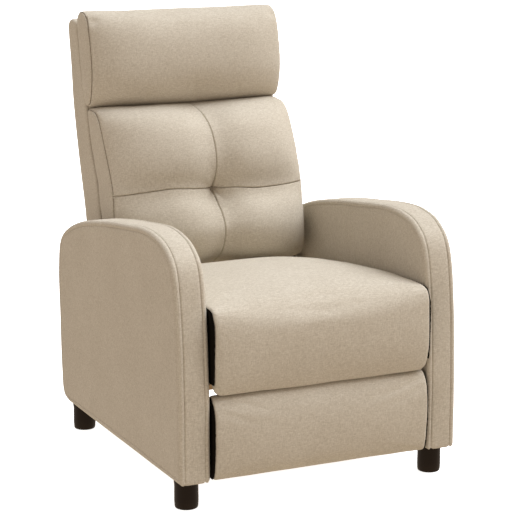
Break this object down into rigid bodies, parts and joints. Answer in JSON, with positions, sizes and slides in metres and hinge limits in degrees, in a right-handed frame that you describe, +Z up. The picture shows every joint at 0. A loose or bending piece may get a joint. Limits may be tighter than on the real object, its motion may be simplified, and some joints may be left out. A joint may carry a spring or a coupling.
{
  "type": "recliner armchair",
  "caption": "Push-back recliner armchair with padded arms, tufted back cushion, headrest, gliding seat and a folding footrest on a plate linkage, on short round feet.",
  "frame": {"origin": "on the floor at the middle of the chair's bounding box, upright with the footrest folded away", "axes": "+Z up; +X towards the sitter's left arm; the chair faces -Y"},
  "size_m": [0.67, 0.91, 0.992],
  "materials": {
    "linen_fabric": "matte",
    "frame_wood": "matte",
    "mechanism_steel": "satin",
    "foot_plastic": "satin",
    "zinc_steel": "satin"
  },
  "bodies": {
    "base": {"arm_cover_left": "linen_fabric", "arm_cover_right": "linen_fabric", "arm_frame_left": "frame_wood", "arm_frame_right": "frame_wood", "base_rail_left": "mechanism_steel", "base_rail_right": "mechanism_steel", "foot_bolt_front_left": "zinc_steel", "foot_bolt_front_right": "zinc_steel", "foot_bolt_rear_left": "zinc_steel", "foot_bolt_rear_right": "zinc_steel", "foot_front_left": "foot_plastic", "foot_front_right": "foot_plastic", "foot_rear_left": "foot_plastic", "foot_rear_right": "foot_plastic", "front_stretcher": "frame_wood", "rear_stretcher": "frame_wood"},
    "front_swing": {"swing_link_front_left": "mechanism_steel", "swing_link_front_right": "mechanism_steel"},
    "rear_swing": {"swing_link_rear_left": "mechanism_steel", "swing_link_rear_right": "mechanism_steel"},
    "seat": {"seat_cushion": "linen_fabric", "seat_front_rail": "frame_wood", "seat_plate_left": "mechanism_steel", "seat_plate_right": "mechanism_steel", "seat_rear_rail": "frame_wood", "seat_side_rail_left": "frame_wood", "seat_side_rail_right": "frame_wood", "seat_spring_1": "zinc_steel", "seat_spring_2": "zinc_steel", "seat_spring_3": "zinc_steel", "seat_spring_4": "zinc_steel", "seat_spring_5": "zinc_steel"},
    "rear_link": {"rear_footrest_link_left": "mechanism_steel", "rear_footrest_link_right": "mechanism_steel"},
    "front_link": {"footrest_cross_tube": "mechanism_steel", "front_footrest_link_left": "mechanism_steel", "front_footrest_link_right": "mechanism_steel"},
    "outer_link": {"outer_footrest_link_left": "mechanism_steel", "outer_footrest_link_right": "mechanism_steel"},
    "inner_link": {"inner_footrest_link_left": "mechanism_steel", "inner_footrest_link_right": "mechanism_steel"},
    "footrest": {"footrest_board": "frame_wood", "footrest_bracket_left": "mechanism_steel", "footrest_bracket_right": "mechanism_steel", "footrest_pad": "linen_fabric"},
    "back": {"back_bracket_left": "mechanism_steel", "back_bracket_right": "mechanism_steel", "back_cushion": "linen_fabric", "back_lower_rail": "frame_wood", "back_panel": "linen_fabric", "back_post_left": "frame_wood", "back_post_right": "frame_wood", "back_top_rail": "frame_wood", "headrest": "linen_fabric"}
  },
  "joints": [
    {"name": "front_swing_pivot", "type": "hinge", "parent": "base", "child": "front_swing", "pos_m": [0, -0.315, 0.14], "axis": [-1, 0, 0], "range_deg": [-24.96, 0]},
    {"name": "seat_glide_pivot", "type": "hinge", "parent": "front_swing", "child": "seat", "pos_m": [0, -0.27306, 0.20218], "axis": [-1, 0, 0], "range_deg": [0, 24.96]},
    {"name": "rear_swing_pivot", "type": "hinge", "parent": "base", "child": "rear_swing", "pos_m": [0, 0.065, 0.14], "axis": [-1, 0, 0], "range_deg": [-24.96, 0]},
    {"name": "footrest_open", "type": "hinge", "parent": "seat", "child": "front_link", "pos_m": [0, -0.291, 0.2696], "axis": [-1, 0, 0], "range_deg": [0, 119.8]},
    {"name": "rear_link_pivot", "type": "hinge", "parent": "seat", "child": "rear_link", "pos_m": [0, -0.2468, 0.2443], "axis": [-1, 0, 0], "range_deg": [0, 120.96]},
    {"name": "outer_link_pivot", "type": "hinge", "parent": "front_link", "child": "outer_link", "pos_m": [0, -0.1852, 0.1955], "axis": [-1, 0, 0], "range_deg": [-115.55, 0]},
    {"name": "inner_link_pivot", "type": "hinge", "parent": "front_link", "child": "inner_link", "pos_m": [0, -0.1706, 0.1585], "axis": [-1, 0, 0], "range_deg": [-112.52, 0]},
    {"name": "footrest_tilt", "type": "hinge", "parent": "outer_link", "child": "footrest", "pos_m": [0, -0.3658, 0.2109], "axis": [-1, 0, 0], "range_deg": [0, 85.76]},
    {"name": "back_recline", "type": "hinge", "parent": "seat", "child": "back", "pos_m": [0, 0.18, 0.335], "axis": [-1, 0, 0], "range_deg": [0, 32]}
  ],
  "couplings": [
    {"joint": "front_swing_pivot", "follows": "footrest_open", "ratio": -0.2},
    {"joint": "seat_glide_pivot", "follows": "footrest_open", "ratio": 0.2},
    {"joint": "rear_swing_pivot", "follows": "footrest_open", "ratio": -0.2},
    {"joint": "rear_link_pivot", "follows": "footrest_open", "ratio": 1.0013},
    {"joint": "outer_link_pivot", "follows": "footrest_open", "ratio": -0.9562},
    {"joint": "inner_link_pivot", "follows": "footrest_open", "ratio": -0.9309},
    {"joint": "footrest_tilt", "follows": "footrest_open", "ratio": 0.7075}
  ]
}
